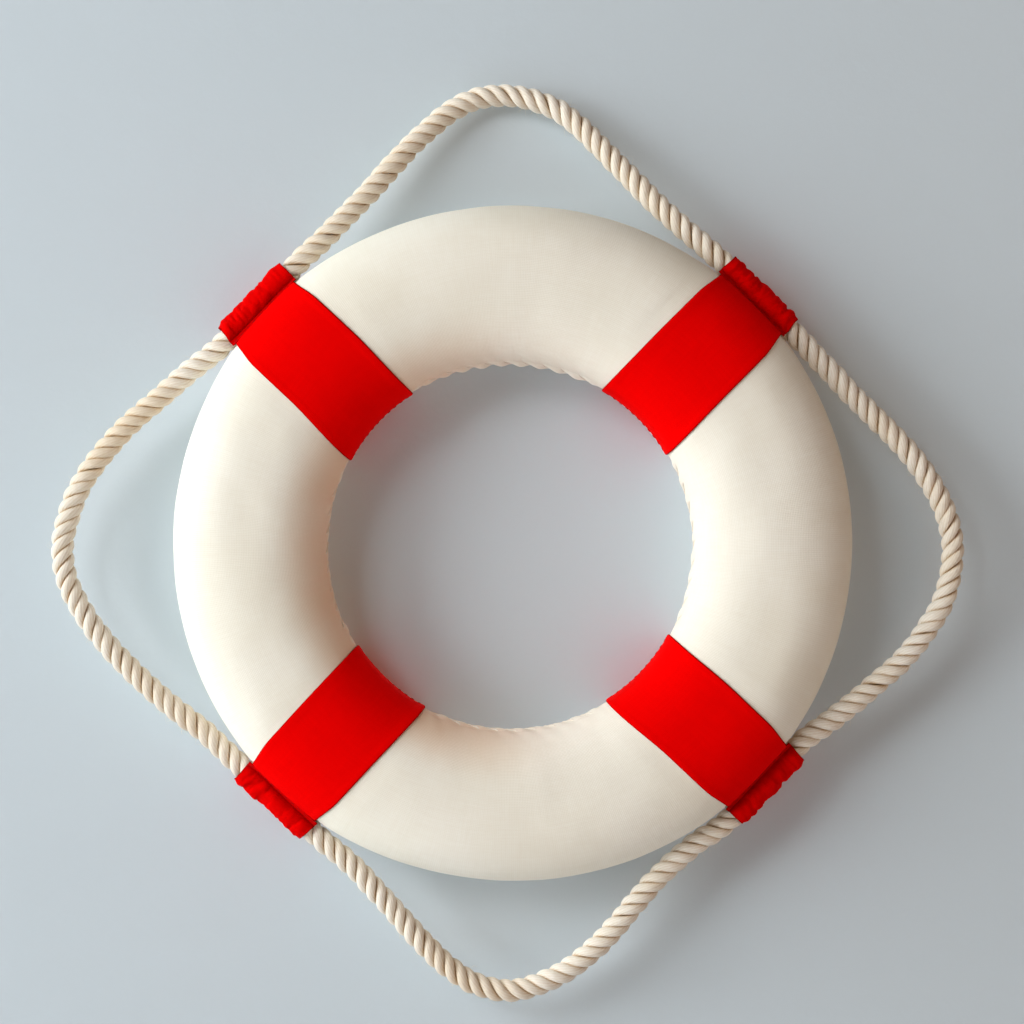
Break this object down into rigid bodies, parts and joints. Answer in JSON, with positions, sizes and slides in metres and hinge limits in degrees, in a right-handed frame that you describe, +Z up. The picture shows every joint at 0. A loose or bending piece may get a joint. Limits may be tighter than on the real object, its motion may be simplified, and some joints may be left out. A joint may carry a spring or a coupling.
{
  "type": "life ring buoy",
  "caption": "Decorative wall-hung life ring: foam ring in cream canvas with red bands and gathered sleeves that carry a twisted rope in free loops.",
  "frame": {"origin": "the point of the hanging rope loop's underside that bears on a wall hook", "axes": "+Z up as it hangs, +Y from the front into the wall along the ring's axis, +X to the right as seen from the front"},
  "size_m": [0.4712, 0.0573, 0.4779],
  "materials": {
    "canvas": "off-white fine plain-weave cotton canvas",
    "red_cloth": "bright red plain-weave cotton",
    "rope": "natural cream cotton, three strands laid right-handed",
    "foam": "white expanded polystyrene foam",
    "cream_thread": "thick cream cotton thread",
    "red_thread": "red sewing thread"
  },
  "bodies": {
    "hanging_loop": {"rope_bight_top": "rope"},
    "ring": {"foam_core": "foam", "cover_panel_top": "canvas", "inner_lacing_top": "cream_thread", "cover_panel_left": "canvas", "inner_lacing_left": "cream_thread", "cover_panel_bottom": "canvas", "inner_lacing_bottom": "cream_thread", "cover_panel_right": "canvas", "inner_lacing_right": "cream_thread", "band_top_right": "red_cloth", "band_seam_thread_top_right": "red_thread", "rope_sleeve_top_right": "red_cloth", "sleeve_stitching_front_top_right": "red_thread", "sleeve_stitching_back_top_right": "red_thread", "band_top_left": "red_cloth", "band_seam_thread_top_left": "red_thread", "rope_sleeve_top_left": "red_cloth", "sleeve_stitching_front_top_left": "red_thread", "sleeve_stitching_back_top_left": "red_thread", "band_bottom_left": "red_cloth", "band_seam_thread_bottom_left": "red_thread", "rope_sleeve_bottom_left": "red_cloth", "sleeve_stitching_front_bottom_left": "red_thread", "sleeve_stitching_back_bottom_left": "red_thread", "band_bottom_right": "red_cloth", "band_seam_thread_bottom_right": "red_thread", "rope_sleeve_bottom_right": "red_cloth", "sleeve_stitching_front_bottom_right": "red_thread", "sleeve_stitching_back_bottom_right": "red_thread", "sleeved_rope_bottom_left": "rope", "sleeved_rope_top_left": "rope", "sleeved_rope_top_right": "rope", "rope_end_upper": "rope", "rope_end_lower": "rope", "rope_end_whipping": "cream_thread"},
    "left_loop": {"rope_bight_left": "rope"},
    "right_loop": {"rope_bight_right": "rope"},
    "bottom_loop": {"rope_bight_bottom": "rope"}
  },
  "joints": [
    {"name": "ring_tilt", "type": "hinge", "parent": "hanging_loop", "child": "ring", "pos_m": [0.00245, -0.02031, -0.08303], "axis": [-0.9998, 0, -0.0175], "range_deg": [0, 45]},
    {"name": "left_loop_swing", "type": "hinge", "parent": "ring", "child": "left_loop", "pos_m": [-0.14646, -0.02031, -0.12851], "axis": [-0.0393, 0, 0.9992], "range_deg": [-12, 60], "stiffness_Nm_per_rad": 0.02},
    {"name": "right_loop_swing", "type": "hinge", "parent": "ring", "child": "right_loop", "pos_m": [0.15286, -0.02031, -0.12329], "axis": [0.0131, 0, -0.9999], "range_deg": [-12, 60], "stiffness_Nm_per_rad": 0.02},
    {"name": "bottom_loop_swing", "type": "hinge", "parent": "ring", "child": "bottom_loop", "pos_m": [-0.09416, -0.02031, -0.38133], "axis": [-0.9994, 0, -0.0349], "range_deg": [-12, 40], "stiffness_Nm_per_rad": 0.02}
  ]
}
